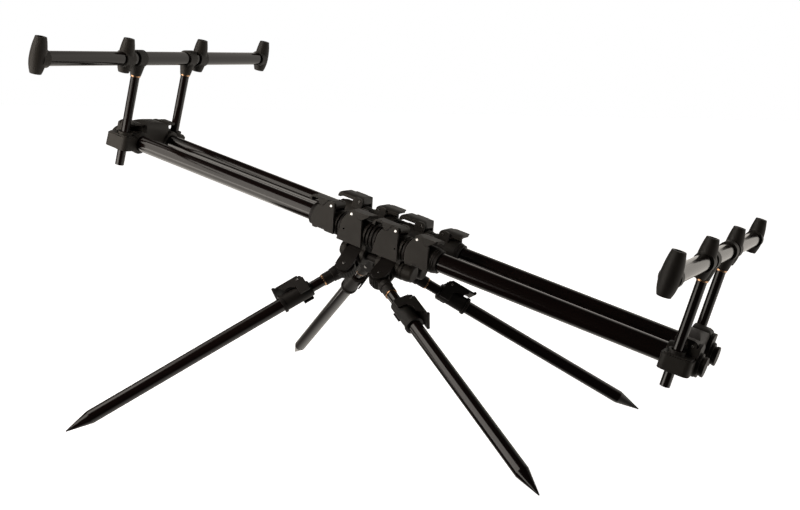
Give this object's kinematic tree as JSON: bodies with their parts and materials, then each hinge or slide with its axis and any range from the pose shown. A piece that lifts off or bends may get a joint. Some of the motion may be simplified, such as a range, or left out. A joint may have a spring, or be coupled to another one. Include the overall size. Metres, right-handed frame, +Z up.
{
  "type": "rod pod",
  "caption": "Free-standing fishing rod pod with a telescopic twin-tube beam, folding telescopic legs with ground spikes, cam-lever clamps and height-adjustable buzz bars.",
  "frame": {"origin": "on the ground under the middle of the overall box; the leg tips stand on z = 0", "axes": "+X along the beam towards its lower end, +Y across it away from the camera, +Z up"},
  "size_m": [0.8048, 0.5008, 0.4724],
  "materials": {
    "moulded": "moulded, fine matt grain",
    "tube_black": "gloss black anodised",
    "copper_ring": "polished copper colour",
    "steel": "bright ground"
  },
  "bodies": {
    "clamp_body": {"body_sleeves": "moulded", "guide_bushes": "moulded", "slide_clamps": "moulded", "left_leg_block": "moulded", "right_leg_block": "moulded", "lever_pins": "steel", "leg_axles": "steel", "axle_caps": "moulded"},
    "left_extension": {"left_beam_tubes": "tube_black", "left_end_housing": "moulded", "left_end_caps": "moulded"},
    "left_bar": {"left_bar_tube": "tube_black", "left_alarm_sockets": "moulded", "left_tee_collars": "moulded", "left_stems": "tube_black", "left_stem_rings": "copper_ring"},
    "right_extension": {"right_beam_tubes": "tube_black", "right_end_housing": "moulded", "right_end_caps": "moulded"},
    "right_bar": {"right_bar_tube": "tube_black", "right_alarm_sockets": "moulded", "right_tee_collars": "moulded", "right_stems": "tube_black", "right_stem_rings": "copper_ring"},
    "front_left_slide_lever": {"front_left_slide_lever": "moulded"},
    "front_left_block_lever": {"front_left_block_lever": "moulded"},
    "front_left_end_lever": {"front_left_end_lever": "moulded"},
    "back_left_slide_lever": {"back_left_slide_lever": "moulded"},
    "back_left_block_lever": {"back_left_block_lever": "moulded"},
    "back_left_end_lever": {"back_left_end_lever": "moulded"},
    "front_right_slide_lever": {"front_right_slide_lever": "moulded"},
    "front_right_block_lever": {"front_right_block_lever": "moulded"},
    "front_right_end_lever": {"front_right_end_lever": "moulded"},
    "back_right_slide_lever": {"back_right_slide_lever": "moulded"},
    "back_right_block_lever": {"back_right_block_lever": "moulded"},
    "back_right_end_lever": {"back_right_end_lever": "moulded"},
    "front_left_yoke": {"front_left_yoke": "moulded"},
    "front_left_upper": {"front_left_leg_head": "moulded", "front_left_upper_leg": "tube_black"},
    "front_left_lower": {"front_left_leg_collar": "moulded", "front_left_lower_leg": "tube_black"},
    "front_left_leg_lever": {"front_left_leg_lever": "moulded"},
    "back_left_yoke": {"back_left_yoke": "moulded"},
    "back_left_upper": {"back_left_leg_head": "moulded", "back_left_upper_leg": "tube_black"},
    "back_left_lower": {"back_left_leg_collar": "moulded", "back_left_lower_leg": "tube_black"},
    "back_left_leg_lever": {"back_left_leg_lever": "moulded"},
    "front_right_yoke": {"front_right_yoke": "moulded"},
    "front_right_upper": {"front_right_leg_head": "moulded", "front_right_upper_leg": "tube_black"},
    "front_right_lower": {"front_right_leg_collar": "moulded", "front_right_lower_leg": "tube_black"},
    "front_right_leg_lever": {"front_right_leg_lever": "moulded"},
    "back_right_yoke": {"back_right_yoke": "moulded"},
    "back_right_upper": {"back_right_leg_head": "moulded", "back_right_upper_leg": "tube_black"},
    "back_right_lower": {"back_right_leg_collar": "moulded", "back_right_lower_leg": "tube_black"},
    "back_right_leg_lever": {"back_right_leg_lever": "moulded"}
  },
  "joints": [
    {"name": "left_slide", "type": "slide", "parent": "clamp_body", "child": "left_extension", "axis": [-0.9616, 0, 0.2746], "range_m": [-0.15, 0.1]},
    {"name": "left_bar_height", "type": "slide", "parent": "left_extension", "child": "left_bar", "axis": [0.2743, -0.0436, 0.9606], "range_m": [-0.05, 0.03]},
    {"name": "right_slide", "type": "slide", "parent": "clamp_body", "child": "right_extension", "axis": [0.9616, 0, -0.2746], "range_m": [-0.03, 0.06]},
    {"name": "right_bar_height", "type": "slide", "parent": "right_extension", "child": "right_bar", "axis": [0.2745, 0.0209, 0.9613], "range_m": [-0.05, 0.03]},
    {"name": "front_left_slide_lever_hinge", "type": "hinge", "parent": "clamp_body", "child": "front_left_slide_lever", "pos_m": [-0.05842, -0.031, 0.26056], "axis": [0, 1, 0], "range_deg": [0, 85]},
    {"name": "front_left_block_lever_hinge", "type": "hinge", "parent": "clamp_body", "child": "front_left_block_lever", "pos_m": [-0.03053, -0.031, 0.2526], "axis": [0, -1, 0], "range_deg": [0, 85]},
    {"name": "front_left_end_lever_hinge", "type": "hinge", "parent": "left_extension", "child": "front_left_end_lever", "pos_m": [-0.37669, -0.031, 0.35145], "axis": [0, -1, 0], "range_deg": [0, 85]},
    {"name": "back_left_slide_lever_hinge", "type": "hinge", "parent": "clamp_body", "child": "back_left_slide_lever", "pos_m": [-0.05842, 0.031, 0.26056], "axis": [0, 1, 0], "range_deg": [0, 85]},
    {"name": "back_left_block_lever_hinge", "type": "hinge", "parent": "clamp_body", "child": "back_left_block_lever", "pos_m": [-0.03053, 0.031, 0.2526], "axis": [0, -1, 0], "range_deg": [0, 85]},
    {"name": "back_left_end_lever_hinge", "type": "hinge", "parent": "left_extension", "child": "back_left_end_lever", "pos_m": [-0.37669, 0.031, 0.35145], "axis": [0, -1, 0], "range_deg": [0, 85]},
    {"name": "front_right_slide_lever_hinge", "type": "hinge", "parent": "clamp_body", "child": "front_right_slide_lever", "pos_m": [0.05601, -0.031, 0.22788], "axis": [0, -1, 0], "range_deg": [0, 85]},
    {"name": "front_right_block_lever_hinge", "type": "hinge", "parent": "clamp_body", "child": "front_right_block_lever", "pos_m": [0.02812, -0.031, 0.23585], "axis": [0, 1, 0], "range_deg": [0, 85]},
    {"name": "front_right_end_lever_hinge", "type": "hinge", "parent": "right_extension", "child": "front_right_end_lever", "pos_m": [0.37429, -0.031, 0.13699], "axis": [0, 1, 0], "range_deg": [0, 85]},
    {"name": "back_right_slide_lever_hinge", "type": "hinge", "parent": "clamp_body", "child": "back_right_slide_lever", "pos_m": [0.05601, 0.031, 0.22788], "axis": [0, -1, 0], "range_deg": [0, 85]},
    {"name": "back_right_block_lever_hinge", "type": "hinge", "parent": "clamp_body", "child": "back_right_block_lever", "pos_m": [0.02812, 0.031, 0.23585], "axis": [0, 1, 0], "range_deg": [0, 85]},
    {"name": "back_right_end_lever_hinge", "type": "hinge", "parent": "right_extension", "child": "back_right_end_lever", "pos_m": [0.37429, 0.031, 0.13699], "axis": [0, 1, 0], "range_deg": [0, 85]},
    {"name": "front_left_swivel", "type": "hinge", "parent": "clamp_body", "child": "front_left_yoke", "pos_m": [-0.04304, -0.014, 0.20334], "axis": [-0.9616, 0, 0.2746], "range_deg": [-21.8, 38.2]},
    {"name": "front_left_fold", "type": "hinge", "parent": "front_left_yoke", "child": "front_left_upper", "pos_m": [-0.04816, -0.03066, 0.18542], "axis": [-0.183, 0.7455, -0.6409], "range_deg": [-29.4, 45.6]},
    {"name": "front_left_telescope", "type": "slide", "parent": "front_left_upper", "child": "front_left_lower", "axis": [-0.6504, -0.5807, -0.4897], "range_m": [-0.013, 0.15]},
    {"name": "front_left_leg_lever_hinge", "type": "hinge", "parent": "front_left_lower", "child": "front_left_leg_lever", "pos_m": [-0.09472, -0.06042, 0.16411], "axis": [-0.183, 0.7455, -0.6409], "range_deg": [0, 80]},
    {"name": "back_left_swivel", "type": "hinge", "parent": "clamp_body", "child": "back_left_yoke", "pos_m": [-0.04304, 0.014, 0.20334], "axis": [0.9616, 0, -0.2746], "range_deg": [-21.8, 38.2]},
    {"name": "back_left_fold", "type": "hinge", "parent": "back_left_yoke", "child": "back_left_upper", "pos_m": [-0.04816, 0.03066, 0.18542], "axis": [0.183, 0.7455, 0.6409], "range_deg": [-29.4, 45.6]},
    {"name": "back_left_telescope", "type": "slide", "parent": "back_left_upper", "child": "back_left_lower", "axis": [-0.6504, 0.5807, -0.4897], "range_m": [-0.013, 0.15]},
    {"name": "back_left_leg_lever_hinge", "type": "hinge", "parent": "back_left_lower", "child": "back_left_leg_lever", "pos_m": [-0.08368, 0.07329, 0.16471], "axis": [0.7372, 0.3272, -0.5911], "range_deg": [0, 80]},
    {"name": "front_right_swivel", "type": "hinge", "parent": "clamp_body", "child": "front_right_yoke", "pos_m": [0.00408, -0.014, 0.18988], "axis": [-0.9616, 0, 0.2746], "range_deg": [-37.1, 22.9]},
    {"name": "front_right_fold", "type": "hinge", "parent": "front_right_yoke", "child": "front_right_upper", "pos_m": [0.00035, -0.03499, 0.17683], "axis": [0.2306, -0.5432, 0.8073], "range_deg": [-59, 16]},
    {"name": "front_right_telescope", "type": "slide", "parent": "front_right_upper", "child": "front_right_lower", "axis": [0.7474, -0.4324, -0.5044], "range_m": [-0.013, 0.15]},
    {"name": "front_right_leg_lever_hinge", "type": "hinge", "parent": "front_right_lower", "child": "front_right_leg_lever", "pos_m": [0.05118, -0.05144, 0.15125], "axis": [0.2306, -0.5432, 0.8073], "range_deg": [0, 80]},
    {"name": "back_right_swivel", "type": "hinge", "parent": "clamp_body", "child": "back_right_yoke", "pos_m": [0.00408, 0.014, 0.18988], "axis": [0.9616, 0, -0.2746], "range_deg": [-37.1, 22.9]},
    {"name": "back_right_fold", "type": "hinge", "parent": "back_right_yoke", "child": "back_right_upper", "pos_m": [0.00035, 0.03499, 0.17683], "axis": [-0.2306, -0.5432, -0.8073], "range_deg": [-59, 16]},
    {"name": "back_right_telescope", "type": "slide", "parent": "back_right_upper", "child": "back_right_lower", "axis": [0.7474, 0.4324, -0.5044], "range_m": [-0.013, 0.15]},
    {"name": "back_right_leg_lever_hinge", "type": "hinge", "parent": "back_right_lower", "child": "back_right_leg_lever", "pos_m": [0.04647, 0.06659, 0.15726], "axis": [0.6231, -0.7197, 0.3063], "range_deg": [0, 80]}
  ]
}
